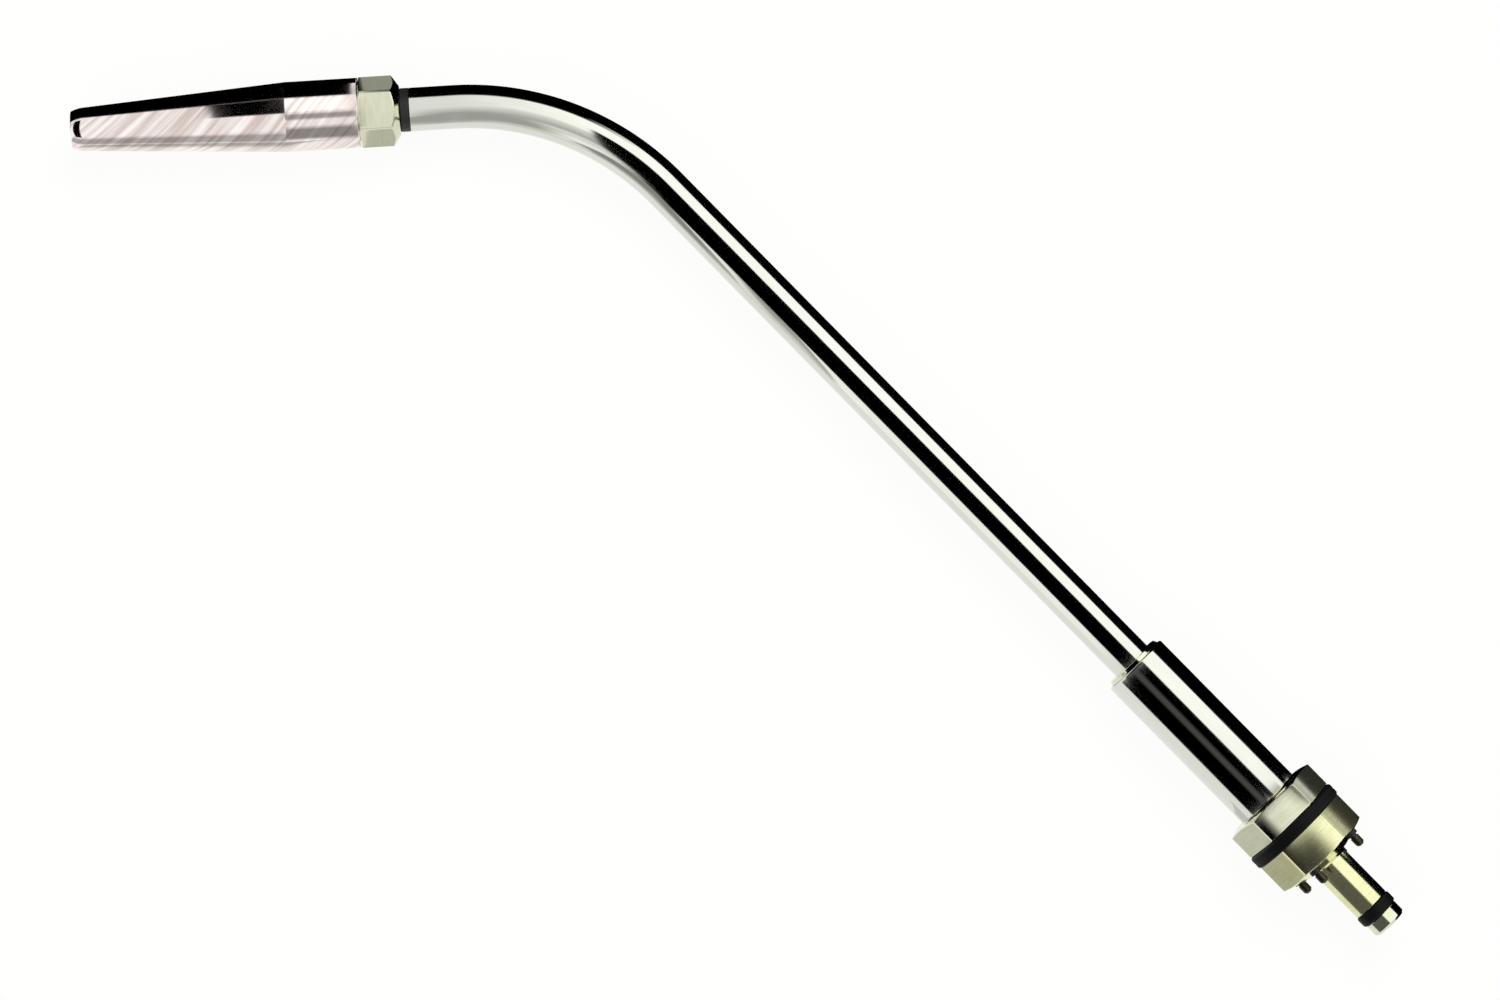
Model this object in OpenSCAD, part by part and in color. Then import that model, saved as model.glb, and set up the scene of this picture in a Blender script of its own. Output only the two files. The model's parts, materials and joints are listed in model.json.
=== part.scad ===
// Plug-in swan neck of a MIG welding torch, with its nozzle, contact tip and plug coupling.
// The straight neck lies along X and points forwards. The bend turns towards Y, and Z is up.
// The origin is on the neck's axis, at the flat rear face of the coupling body.

/* [Neck tube] */
// Outside diameter of the polished neck tube
tube_d = 14; // [13:0.5:15]
// Wall of the neck tube
tube_wall = 0.8; // [0.6:0.1:1]
// Radius of the bend, to the tube's centre line
bend_r = 88; // [60:2:120]
// Angle of the bend
bend_angle = 48.9; // [20:0.1:75]
// Straight tube between the shank and the bend
rear_straight = 213.8; // [60:0.2:300]
// Straight tube between the bend and the front ring
front_straight = 14; // [10:1:40]

/* [Inside the neck] */
// Wall of the insulating sleeve inside the neck tube
insulation_wall = 1.1; // [0.8:0.1:1.2]
// Wall of the copper conductor tube
conductor_wall = 1.5; // [1.2:0.1:1.6]
// Outside diameter of the wire liner
liner_d = 4.6; // [4.2:0.1:4.8]
// Hole through the wire liner
liner_bore_d = 2.6; // [2:0.1:3]
// Length of the nipple on the liner's rear end
nipple_len = 6; // [5:0.5:6.5]

/* [Shank] */
// Outside diameter of the shank
shank_d = 22.4; // [21.6:0.2:25]
// Wall of the shank
shank_wall = 2; // [1.5:0.1:2.2]
// Length of the shank
shank_len = 60.5; // [45:0.5:90]
// Length of the bush that stands out of the shank's front end
bush_lip_len = 1.5; // [1:0.1:3]
// Step of the bush's lip over the shank's bore
bush_lip_step = 1; // [0.5:0.1:1.4]
// Length of the bush inside the shank
bush_plug_len = 4; // [3:0.5:8]

/* [Neck tail] */
// Diameter of the tail that plugs into the coupling
tail_d = 16; // [15:0.5:16.5]
// How far the tail reaches into the shank
tail_socket = 8.5; // [6:0.5:14]
// Depth of the gas hole at the tail's rear end
tail_hole_len = 8; // [7.5:0.5:9]
// Diameter of that gas hole
tail_hole_d = 7; // [6.8:0.1:7.4]
// Thickness of a tail seal
tail_seal_t = 1.8; // [1.4:0.1:2]
// From the tail's rear end to the first seal's middle
tail_seal_inset = 3.2; // [2.8:0.1:3.6]
// From one tail seal's middle to the next
tail_seal_pitch = 4.6; // [4:0.1:5]

/* [Coupling] */
// Width across flats of the two hexagons
hex_af = 30; // [29:0.5:34]
// Length of the brass hexagon
body_len = 13.3; // [12:0.1:18]
// Length of the cone that takes the body's rear corners off
rear_cone_len = 2.9; // [2:0.1:3.5]
// Diameter of the flat in the middle of the rear face
rear_flat_d = 16.8; // [15:0.2:18]
// Length of the black ring between the hexagons
seal_len = 4.3; // [3:0.1:6]
// How far the black ring stands out of the hexagon's corners
seal_step = 0.15; // [0.1:0.05:0.5]
// Length of the lock nut
nut_len = 9.3; // [8:0.1:14]
// Wall of the lock nut between its flats and its thread
nut_wall = 3; // [2.6:0.1:3.2]
// Length of the flange in the lock nut's front end
nut_flange_len = 2.6; // [2:0.1:3]
// Length of the chamfer on the nut's front corners
nut_chamfer_len = 0.8; // [0.5:0.1:1.5]
// Length of the clamping collet
collet_len = 4; // [3:0.1:4.6]
// Wall of the collet at its thin end
collet_wall = 1; // [0.8:0.1:1.2]
// How much thicker the collet's wall is at its mouth
collet_cone = 1; // [0.6:0.1:1.2]
// Width of the slot that lets the collet close
collet_slot = 1.2; // [0.8:0.1:2]

/* [Contact pins] */
// Diameter of a contact pin where it stands out
pin_d = 3; // [2.6:0.1:3.4]
// Diameter of a contact pin in its bush
pin_root_d = 2.4; // [2:0.1:2.5]
// How far a pin stands out behind the rear face
pin_reach = 3.5; // [2:0.1:5]
// Depth of a pin's hole, from the rear face
pin_depth = 9; // [6:0.5:11]
// From a flat of the hexagon to the circle of the pins' middles
pin_inset = 2.6; // [2.5:0.1:3]
// Turn of the pin circle, from Y towards Z
pin_turn = 64; // [60:1:68]
// Wall of the insulating bush around a pin
pin_bush_wall = 0.8; // [0.6:0.1:0.9]
// How far a bush starts in front of the rear face
pin_bush_inset = 0.6; // [0.4:0.1:1]

/* [Plug] */
// Diameter of the plug
plug_d = 12.6; // [12:0.1:14]
// Length of the plug, from the rear face to its seal
plug_len = 19.8; // [14:0.2:30]
// Diameter of the thread that holds the plug in the body
plug_thread_d = 10; // [9:0.5:10.5]
// Length of that thread
plug_thread_len = 7; // [5:0.5:8]
// Diameter of the journal that carries the seal and the end cap
journal_d = 9; // [8.4:0.1:9.4]
// Width of the plug's seal
plug_seal_len = 4; // [3:0.1:5]
// How far the plug's seal stands out of the plug
plug_seal_step = 0.35; // [0.2:0.05:0.6]
// Length of the end cap
cap_len = 4.7; // [4:0.1:8]
// Diameter of the end cap
cap_d = 12; // [11:0.1:12.4]
// Length of the end cap's lead-in, inside and outside
cap_lead = 0.8; // [0.5:0.1:1]
// Thickness of the end cap's floor
cap_floor = 1.5; // [1.2:0.1:2]
// Diameter of the hole for wire and gas through the plug
inlet_d = 6; // [5.4:0.1:6.4]

/* [Front ring and nozzle seat] */
// Length of the black ring behind the collar
front_ring_len = 3.2; // [2:0.1:5]
// Wall of the insulating bush under the seat
insulator_wall = 2; // [1.4:0.1:2.2]
// Length of the collar's conical back
collar_cone_len = 2.6; // [1.5:0.1:4]
// Diameter of the collar's rear face
collar_back_d = 15.7; // [15:0.1:17]
// Length of the collar's hexagon
collar_hex_len = 10.2; // [7:0.1:14]
// Step from the seat to the collar's flats
collar_step = 0.9; // [0.5:0.1:2]
// Length of the seat inside the nozzle
seat_len = 18; // [14:0.5:22]
// How far the insulating bush ends behind the seat's end
insulator_inset = 2; // [1:0.5:4]
// From the collar to the spring ring's middle
spring_inset = 9; // [6:0.5:12]
// Thickness of the spring ring's wire
spring_t = 1.5; // [1:0.1:1.8]

/* [Gas nozzle] */
// Diameter of the nozzle's cylinder
nozzle_d = 22.4; // [22:0.1:25]
// Wall of the nozzle's cylinder
nozzle_wall = 2.05; // [1.8:0.05:2.1]
// Length of the nozzle's cylinder
nozzle_cyl_len = 23.2; // [18:0.2:40]
// Length of the nozzle's cone, with its lip
nozzle_cone_len = 69; // [60:1:90]
// Outside diameter at the nozzle's tip
nozzle_tip_d = 13.4; // [13.2:0.1:16]
// Diameter of the nozzle's mouth
mouth_d = 10.4; // [9.6:0.1:10.4]
// Length of the parallel mouth
mouth_len = 10.5; // [6:0.5:16]
// How far the wide bore reaches into the cone
bore_reach = 10.5; // [8:0.5:12]
// Radius of the nozzle's rounded lip
lip_r = 1.4; // [1:0.1:1.4]

/* [Tip holder and contact tip] */
// Length of the holder's stem in the conductor tube
stem_len = 6; // [4:0.5:10]
// Hole through the tip holder
holder_bore_d = 5.4; // [5:0.1:5.6]
// Diameter of the holder's head
head_d = 13; // [12:0.1:13.4]
// Length of the holder's head
head_len = 16; // [14:0.5:18]
// From the head's rear end to the gas ports
port_inset = 5; // [3:0.5:6]
// Diameter of a gas port
port_d = 2; // [1.2:0.1:2.4]
// Number of gas ports
port_count = 6; // [4:1:8]
// Length of the shoulder in front of the gas distributor
shoulder_len = 1.5; // [1:0.1:2.5]
// Length of the gas distributor
distributor_len = 4.5; // [3:0.1:6]
// Wall of the gas distributor
distributor_wall = 1.7; // [1.4:0.1:1.8]
// Diameter of a hole in the gas distributor
jet_d = 1; // [0.6:0.1:1]
// Number of holes in the gas distributor
jet_count = 10; // [6:1:14]
// How far the contact tip ends behind the nozzle's mouth
tip_recess = 2; // [1:0.5:3]
// Diameter of the contact tip
tip_d = 8; // [7.4:0.1:8.6]
// Length of the contact tip in front of the holder
tip_len = 36; // [25:1:44]
// Length of the contact tip's cone
tip_nose_len = 6; // [3:0.5:12]
// Diameter of the contact tip's front face
tip_face_d = 5.6; // [4:0.1:6.4]
// Diameter of the contact tip's thread
tip_thread_d = 6; // [5.8:0.1:6.6]
// Length of the contact tip's thread
tip_thread_len = 10; // [6:0.5:12]
// Hole for the welding wire
wire_d = 1.2; // [0.8:0.1:1.6]
// Length of the funnel behind the wire hole
funnel_len = 11; // [10.5:0.5:14]
// Depth of the spanner flats on the holder and the tip
flat_depth = 0.7; // [0.4:0.1:0.9]
// Length of the spanner flats
flat_len = 7; // [5:0.5:9]

/* [Fits] */
// Radial clearance of a piece that turns or slides on another
running_gap = 0.05; // [0.03:0.01:0.1]
// Clearance between other pieces that move past each other
moving_gap = 0.3; // [0.3:0.05:0.4]
// Radial clearance of the nested tubes in the neck
slip_gap = 0.05; // [0.03:0.01:0.1]

/* [Hidden] */
$fn = 96;
// How far a cutter runs past what it cuts
cut = 1;
// Where the front of a neck tube joins its bend: the overlap, and the step in radius
joint_lap = 0.5;
joint_step = 0.02;
hex_ac = hex_af / cos(30);

// Places along X, from the rear face of the coupling body
seal_x1 = body_len + seal_len;
nut_x0 = seal_x1 + moving_gap;
nut_x1 = nut_x0 + nut_len;
flange_x0 = nut_x1 - nut_flange_len;
stub_x1 = flange_x0 - moving_gap;
collet_x0 = stub_x1 - collet_len;
shank_x0 = nut_x1 + moving_gap;
shank_x1 = shank_x0 + shank_len;
bend_x = shank_x1 + rear_straight;
tail_x0 = plug_thread_len + moving_gap;
tail_x1 = shank_x0 + tail_socket;
conductor_x0 = tail_x0 + tail_hole_len;
nipple_x0 = conductor_x0 - nipple_len;
liner_x0 = nipple_x0 + nipple_len / 3;
bush_x0 = shank_x1 - bush_plug_len;
journal_x0 = -plug_len - plug_seal_len;
cap_x0 = journal_x0 - cap_len;

// Places along the front axis, from the end of the bend
collar_f0 = front_straight + front_ring_len;
hex_f0 = collar_f0 + collar_cone_len;
collar_f1 = hex_f0 + collar_hex_len;
seat_f1 = collar_f1 + seat_len;
spring_f = collar_f1 + spring_inset;
insulator_f1 = seat_f1 - insulator_inset;
nozzle_f0 = collar_f1 + moving_gap;
cone_f0 = nozzle_f0 + nozzle_cyl_len;
nozzle_f1 = cone_f0 + nozzle_cone_len;
tip_f1 = nozzle_f1 - tip_recess;
tip_f0 = tip_f1 - tip_len;
holder_f1 = tip_f0 - moving_gap;
tip_rear_f = holder_f1 - tip_thread_len;
liner_f1 = tip_rear_f - 2 * moving_gap;
head_f1 = insulator_f1 + head_len;
distributor_f1 = head_f1 - shoulder_len;

// Diameters that follow from their neighbours
insulation_d = tube_d - 2 * (tube_wall + slip_gap);
conductor_d = insulation_d - 2 * (insulation_wall + slip_gap);
conductor_bore_d = conductor_d - 2 * conductor_wall;
insulator_d = conductor_d + 2 * insulator_wall;
nozzle_bore_d = nozzle_d - 2 * nozzle_wall;
seat_d = nozzle_bore_d - 2 * running_gap;
collar_af = seat_d + 2 * collar_step;
shank_bore_d = shank_d - 2 * shank_wall;
tail_bore_d = tail_d + 2 * running_gap;
stub_d = hex_af - 2 * nut_wall;
seal_d = hex_ac + 2 * seal_step;
pin_circle_r = hex_af / 2 - pin_inset;
pin_hole_d = pin_root_d + 2 * pin_bush_wall;
spring_groove_d = seat_d - 2 * spring_t;
tip_hole_d = tip_thread_d + 2 * running_gap;
distributor_d = head_d + 2 * distributor_wall;
jet_circle_r = (head_d + distributor_d) / 4;

nickel = "#c9cbb4";
brass = "#b3a05c";
chrome = "#b9bcc0";
copper = "#b98a76";
black = "#1b1b1d";
plastic = "#3a3b3e";

// A round bar along X
module rod(x0, x1, d) {
    translate([x0, 0, 0]) rotate([0, 90, 0]) cylinder(h = x1 - x0, d = d);
}

// A cone along X
module taper(x0, x1, d0, d1) {
    translate([x0, 0, 0]) rotate([0, 90, 0]) cylinder(h = x1 - x0, d1 = d0, d2 = d1);
}

// A pipe along X
module pipe(x0, x1, d_out, d_in) {
    difference() {
        rod(x0, x1, d_out);
        rod(x0 - cut, x1 + cut, d_in);
    }
}

// A hexagonal bar along X, with one flat facing up
module hex_bar(x0, x1, af) {
    translate([x0, 0, 0]) rotate([0, 90, 0]) rotate([0, 0, 30])
        cylinder(h = x1 - x0, d = af / cos(30), $fn = 6);
}

// Turns a section about X: its first axis is the radius, its second runs along X
module turned() {
    rotate([0, 90, 0]) rotate_extrude() children();
}

// A ring along X whose outer corners are rounded
module soft_ring(x0, x1, d_out, d_in, r) {
    turned() {
        translate([d_in / 2, x0]) square([d_out / 2 - r - d_in / 2, x1 - x0]);
        translate([d_out / 2 - 2 * r, x0 + r]) square([2 * r, x1 - x0 - 2 * r]);
        for (x = [x0 + r, x1 - r]) translate([d_out / 2 - r, x]) circle(r = r);
    }
}

// A round seal about X, centred at x
module round_seal(x, d_out, t) {
    turned() translate([d_out / 2 - t / 2, x]) circle(d = t);
}

// Puts children on the centre of the bend
module bend_centre() {
    translate([bend_x, bend_r, 0]) children();
}

// Puts children, built along X, on the front axis
module front() {
    bend_centre() rotate([0, 0, bend_angle]) translate([0, -bend_r, 0]) children();
}

// A round bar along the whole neck, from x0 behind the bend to f1 in front of it.
// The front bar starts inside the bend and is a hair thinner, so that the two join cleanly.
module neck_rod(x0, f1, d) {
    rod(x0, bend_x, d);
    bend_centre() rotate([0, 0, -90]) rotate_extrude(angle = bend_angle)
        translate([bend_r, 0]) circle(d = d);
    front() rod(-joint_lap, f1, d - 2 * joint_step);
}

// A pipe along the whole neck
module neck_pipe(x0, f1, d_out, d_in) {
    difference() {
        neck_rod(x0, f1, d_out);
        neck_rod(x0 - cut, f1 + cut, d_in);
    }
}

// Puts children at each of the contact pins
module pin_circle() {
    for (turn = [0:90:270]) rotate([pin_turn + turn, 0, 0]) translate([0, pin_circle_r, 0]) children();
}

// Two blocks that leave spanner flats on a bar of diameter d
module flat_cutters(x0, d) {
    for (side = [0, 180]) rotate([side, 0, 0])
        translate([x0, -d, d / 2 - flat_depth]) cube([flat_len, 2 * d, d]);
}

// ---- Plug and coupling ----

module plug_end_cap() {
    color(nickel) difference() {
        union() {
            taper(cap_x0, cap_x0 + cap_lead, cap_d - 2 * cap_lead, cap_d);
            rod(cap_x0 + cap_lead, journal_x0, cap_d);
        }
        rod(cap_x0 + cap_floor, journal_x0 + cut, journal_d);
        rod(cap_x0 - cut, cap_x0 + cap_floor + cut, inlet_d);
        taper(cap_x0, cap_x0 + cap_lead, inlet_d + 2 * cap_lead, inlet_d);
    }
}

module plug_seal() {
    color(black)
        soft_ring(journal_x0, -plug_len, plug_d + 2 * plug_seal_step, journal_d, plug_seal_len / 4);
}

module plug_spigot() {
    color(brass) difference() {
        union() {
            rod(-plug_len, 0, plug_d);
            rod(cap_x0 + cap_floor, -plug_len, journal_d);
            rod(0, plug_thread_len, plug_thread_d);
        }
        rod(cap_x0, plug_thread_len + cut, inlet_d);
    }
}

module contact_pins() {
    color(plastic) pin_circle() {
        taper(-pin_reach, pin_d / 4 - pin_reach, pin_d / 2, pin_d);
        rod(pin_d / 4 - pin_reach, 0, pin_d);
        rod(-cut, pin_depth, pin_root_d);
    }
}

module pin_bushes() {
    color(black) pin_circle() pipe(pin_bush_inset, pin_depth, pin_hole_d, pin_root_d);
}

module coupling_body() {
    cone_growth = (hex_ac - rear_flat_d) / rear_cone_len;
    color(brass) difference() {
        union() {
            intersection() {
                hex_bar(0, body_len, hex_af);
                taper(0, body_len, rear_flat_d, rear_flat_d + cone_growth * body_len);
            }
            rod(body_len - cut, stub_x1, stub_d);
        }
        rod(-cut, plug_thread_len + cut, plug_thread_d);
        rod(plug_thread_len, stub_x1 + cut, tail_bore_d);
        collet_cone();
        pin_circle() rod(-cut, pin_depth, pin_hole_d);
    }
}

// The cone that the collet fills
module collet_cone() {
    d_thin = tail_bore_d + 2 * collet_wall;
    taper(collet_x0, stub_x1, d_thin, d_thin + 2 * collet_cone);
}

module coupling_seal() {
    color(black) soft_ring(body_len, seal_x1, seal_d, stub_d, seal_len / 5);
}

module clamp_collet() {
    color(brass) difference() {
        collet_cone();
        rod(collet_x0 - cut, stub_x1 + cut, tail_bore_d);
        translate([collet_x0 - cut, -collet_slot / 2, 0]) cube([collet_len + 2 * cut, collet_slot, stub_d]);
    }
}

module lock_nut() {
    face_d = hex_af - nut_chamfer_len;
    growth = (hex_ac - face_d) / nut_chamfer_len;
    color(nickel) difference() {
        intersection() {
            hex_bar(nut_x0, nut_x1, hex_af);
            taper(nut_x0, nut_x1, face_d + growth * nut_len, face_d);
        }
        rod(nut_x0 - cut, flange_x0, stub_d + 2 * running_gap);
        rod(nut_x0, nut_x1 + cut, tail_d + 2 * moving_gap);
    }
}

// ---- Neck ----

module neck_tail() {
    color(brass) difference() {
        union() {
            rod(tail_x0, shank_x0, tail_d);
            rod(shank_x0, tail_x1, shank_bore_d);
        }
        rod(tail_x0 - cut, conductor_x0 + cut, tail_hole_d);
        rod(conductor_x0, tail_x1 + cut, conductor_d);
        for (x = tail_seal_places()) pipe(x - 0.6 * tail_seal_t, x + 0.6 * tail_seal_t, tail_d + cut,
            tail_d - 2 * tail_seal_t);
    }
}

function tail_seal_places() = [for (i = [0, 1]) tail_x0 + tail_seal_inset + i * tail_seal_pitch];

module tail_seals() {
    color(black) for (x = tail_seal_places()) round_seal(x, tail_d, tail_seal_t);
}

module shank() {
    color(chrome) pipe(shank_x0, shank_x1, shank_d, shank_bore_d);
}

module shank_insulator() {
    color(plastic) pipe(tail_x1, bush_x0, shank_bore_d, tube_d);
}

module shank_bush() {
    lip_d = shank_bore_d + 2 * bush_lip_step;
    color(nickel) difference() {
        union() {
            rod(bush_x0, shank_x1, shank_bore_d);
            taper(shank_x1, shank_x1 + bush_lip_len, lip_d, lip_d - bush_lip_len);
        }
        rod(bush_x0 - cut, shank_x1 + bush_lip_len + cut, tube_d);
    }
}

module neck_tube() {
    color(chrome) neck_pipe(tail_x1, front_straight, tube_d, tube_d - 2 * tube_wall);
}

module neck_insulation() {
    color(plastic) neck_pipe(tail_x1, front_straight, insulation_d, insulation_d - 2 * insulation_wall);
}

module conductor_tube() {
    color(copper) neck_pipe(conductor_x0, hex_f0, conductor_d, conductor_bore_d);
}

module wire_liner() {
    color(chrome) neck_pipe(liner_x0, liner_f1, liner_d, liner_bore_d);
}

module liner_nipple() {
    slot_d = 1.6;
    color(brass) difference() {
        rod(nipple_x0, conductor_x0, tail_hole_d);
        rod(liner_x0, conductor_x0 + cut, liner_d);
        taper(nipple_x0, liner_x0, liner_d, liner_bore_d);
        for (turn = [60:120:300]) rotate([turn, 0, 0])
            translate([0, tail_hole_d / 2, 0]) rod(nipple_x0 - cut, conductor_x0 + cut, slot_d);
    }
}

// ---- Front end ----

module front_ring() {
    color(black) front() soft_ring(front_straight, collar_f0, tube_d, conductor_d, front_ring_len / 6);
}

module nozzle_insulator() {
    color(plastic) front() pipe(collar_f0, insulator_f1, insulator_d, conductor_d);
}

module nozzle_seat() {
    growth = (collar_af / cos(30) - collar_back_d) / collar_cone_len;
    groove_half = spring_t / 2 + moving_gap;
    color(nickel) front() difference() {
        union() {
            intersection() {
                hex_bar(collar_f0, collar_f1, collar_af);
                taper(collar_f0, collar_f1, collar_back_d, collar_back_d + growth * (collar_f1 - collar_f0));
            }
            rod(collar_f1 - cut, seat_f1, seat_d);
        }
        rod(collar_f0 - cut, seat_f1 + cut, insulator_d);
        pipe(spring_f - groove_half, spring_f + groove_half, seat_d + cut, spring_groove_d);
    }
}

module nozzle_spring() {
    color(chrome) front() difference() {
        round_seal(spring_f, seat_d, spring_t);
        rod(spring_f - spring_t, spring_f + spring_t, spring_groove_d + 2 * running_gap);
    }
}

module gas_nozzle() {
    lip_f0 = nozzle_f1 - lip_r;
    bore_f1 = cone_f0 + bore_reach;
    mouth_f0 = nozzle_f1 - mouth_len;
    color(copper) front() difference() {
        union() {
            rod(nozzle_f0, cone_f0, nozzle_d);
            taper(cone_f0, lip_f0, nozzle_d, nozzle_tip_d);
            turned() translate([0, lip_f0]) {
                square([nozzle_tip_d / 2 - lip_r, lip_r]);
                translate([nozzle_tip_d / 2 - lip_r, 0]) intersection() {
                    circle(r = lip_r);
                    square(lip_r);
                }
            }
        }
        rod(nozzle_f0 - cut, bore_f1, nozzle_bore_d);
        taper(bore_f1, mouth_f0, nozzle_bore_d, mouth_d);
        rod(mouth_f0, nozzle_f1 + cut, mouth_d);
    }
}

module tip_holder() {
    port_f = insulator_f1 + port_inset;
    color(brass) front() difference() {
        union() {
            rod(hex_f0 - stem_len, hex_f0, conductor_bore_d - 2 * joint_step);
            rod(hex_f0, holder_f1, conductor_d);
            rod(insulator_f1, head_f1, head_d);
            rod(distributor_f1, head_f1, head_d + distributor_wall);
        }
        rod(hex_f0 - stem_len - cut, tip_rear_f, holder_bore_d);
        rod(tip_rear_f - moving_gap, holder_f1 + cut, tip_hole_d);
        for (i = [1:port_count]) rotate([i * 360 / port_count, 0, 0])
            translate([port_f, 0, 0]) cylinder(h = head_d, d = port_d);
        flat_cutters(head_f1 + moving_gap, conductor_d);
    }
}

module gas_distributor() {
    distributor_f0 = distributor_f1 - distributor_len;
    color("#e7e2d6") front() difference() {
        pipe(distributor_f0, distributor_f1, distributor_d, head_d);
        for (i = [1:jet_count]) rotate([i * 360 / jet_count, 0, 0])
            translate([0, jet_circle_r, 0]) rod(distributor_f0 - cut, distributor_f1 + cut, jet_d);
    }
}

module contact_tip() {
    color(copper) front() difference() {
        union() {
            rod(tip_rear_f, tip_f0, tip_thread_d);
            rod(tip_f0, tip_f1 - tip_nose_len, tip_d);
            taper(tip_f1 - tip_nose_len, tip_f1, tip_d, tip_face_d);
        }
        rod(tip_rear_f - cut, tip_f1 + cut, wire_d);
        taper(tip_rear_f, tip_rear_f + funnel_len, liner_bore_d, wire_d);
        flat_cutters(tip_f0 + moving_gap, tip_d);
    }
}

plug_end_cap();
plug_seal();
plug_spigot();
contact_pins();
pin_bushes();
coupling_body();
coupling_seal();
clamp_collet();
lock_nut();
neck_tail();
tail_seals();
shank();
shank_insulator();
shank_bush();
neck_tube();
neck_insulation();
conductor_tube();
wire_liner();
liner_nipple();
front_ring();
nozzle_seat();
nozzle_insulator();
nozzle_spring();
gas_nozzle();
tip_holder();
gas_distributor();
contact_tip();
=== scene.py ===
# Plug-in swan neck of a MIG welding torch: gas nozzle, bent tube, shank and plug coupling.
# Sizes in the dictionaries are in millimetres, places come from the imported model.
import json
import math
import bmesh
import bpy
from mathutils import Matrix, Vector


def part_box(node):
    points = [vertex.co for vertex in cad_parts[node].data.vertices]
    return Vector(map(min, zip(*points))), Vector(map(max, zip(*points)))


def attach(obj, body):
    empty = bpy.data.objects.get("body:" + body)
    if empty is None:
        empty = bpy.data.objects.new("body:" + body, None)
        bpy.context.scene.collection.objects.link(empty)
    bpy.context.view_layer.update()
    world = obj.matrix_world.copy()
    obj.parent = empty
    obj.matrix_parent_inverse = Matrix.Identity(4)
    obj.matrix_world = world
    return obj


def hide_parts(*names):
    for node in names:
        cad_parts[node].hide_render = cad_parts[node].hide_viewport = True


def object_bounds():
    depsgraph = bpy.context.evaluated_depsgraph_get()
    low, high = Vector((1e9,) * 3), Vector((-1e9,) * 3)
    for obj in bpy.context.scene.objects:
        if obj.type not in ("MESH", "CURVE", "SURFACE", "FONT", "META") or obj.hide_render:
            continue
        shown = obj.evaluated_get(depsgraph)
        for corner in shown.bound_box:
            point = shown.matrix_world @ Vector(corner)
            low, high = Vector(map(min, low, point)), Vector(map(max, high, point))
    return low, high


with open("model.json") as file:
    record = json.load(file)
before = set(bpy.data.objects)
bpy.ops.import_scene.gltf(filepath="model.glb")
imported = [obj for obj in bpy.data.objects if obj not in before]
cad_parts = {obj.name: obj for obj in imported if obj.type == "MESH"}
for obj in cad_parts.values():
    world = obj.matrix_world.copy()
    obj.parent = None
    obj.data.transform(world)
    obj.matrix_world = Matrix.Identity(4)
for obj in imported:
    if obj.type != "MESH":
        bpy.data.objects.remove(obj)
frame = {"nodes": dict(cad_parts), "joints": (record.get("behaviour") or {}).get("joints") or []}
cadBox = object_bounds()
print("frame loaded:", len(frame["nodes"]), "nodes")

mm = 0.001
seam = 0.02  # millimetres left between pieces that meet
mergeGap, sliver = 0.002, 0.001  # points nearer than the first are joined, edges below the second go
crispAngle, innerCrisp = 38, 30  # degrees from which an edge stays crisp: the pieces', the inner nodes'
joints = {joint["name"]: joint for joint in frame["joints"]}


def axisPlace(origin, direction):
    # local X runs along the axis and local Z stays up
    along = Vector(direction).normalized()
    up = Vector((0, 0, 1))
    return Matrix.Translation(origin) @ Matrix((along, up.cross(along), up)).transposed().to_4x4()


rearPlace = axisPlace(joints["neck_swivel"]["pos_m"], joints["neck_swivel"]["axis"])
frontPlace = axisPlace(joints["nozzle_twist"]["pos_m"], joints["nozzle_twist"]["axis"])


def reach(node, place):
    # where a node starts and ends along an axis, and its largest radius, in millimetres
    inverse = place.inverted()
    points = [inverse @ vertex.co / mm for vertex in frame["nodes"][node].data.vertices]
    return min(p.x for p in points), max(p.x for p in points), max(math.hypot(p.y, p.z) for p in points)


def evenTurns(count):
    return [2 * math.pi * i / count for i in range(count)]


def hexTurns(perSide):
    # angles round a hexagon, closer together at its corners
    turns = []
    for side in range(6):
        for i in range(perSide):
            turns.append(math.radians(60 * side + 30 * math.sin(math.pi * (i / perSide - 0.5))))
    return turns


cornerSteps = 5  # facets round a corner
nearlyStraight = math.radians(86)  # half an angle that is too wide to round
mostOfSide = 0.45  # share of a side that a corner may take up
supportGap = 0.1  # millimetres from a corner to the row that keeps the shading of a long face flat
supportRoom = 0.4  # the room that such a row needs


def filleted(points):
    # a closed outline of (x, radius, fillet) points becomes (x, radius) points with rounded corners
    outline = []
    for i, (x, radius, fillet) in enumerate(points):
        here = Vector((x, radius))
        before = Vector(points[i - 1][:2]) - here
        after = Vector(points[(i + 1) % len(points)][:2]) - here
        half = before.angle(after) / 2
        if fillet <= 0:
            outline.append((x, radius))
            continue
        toBefore, toAfter = before.normalized(), after.normalized()
        if half > nearlyStraight:
            outline += [tuple(here + fillet * toBefore), tuple(here + fillet * toAfter)]
            continue
        back = min(fillet / math.tan(half), mostOfSide * before.length, mostOfSide * after.length)
        start, end = here + back * toBefore, here + back * toAfter
        centre = here + (toBefore + toAfter).normalized() * back / math.cos(half)
        if before.length > 2 * back + supportRoom:
            outline.append(tuple(start + supportGap * toBefore))
        for step in range(cornerSteps + 1):
            spoke = (start - centre).lerp(end - centre, step / cornerSteps)
            outline.append(tuple(centre + spoke.normalized() * (start - centre).length))
        if after.length > 2 * back + supportRoom:
            outline.append(tuple(end + supportGap * toAfter))
    return outline


def stepsBetween(start, end, count):
    return [start + (end - start) * i / count for i in range(count + 1)]


def smoothMin(a, b, blend):
    share = max(0.0, min(1.0, 0.5 + 0.5 * (b - a) / blend))
    return b + (a - b) * share - blend * share * (1 - share)


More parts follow.
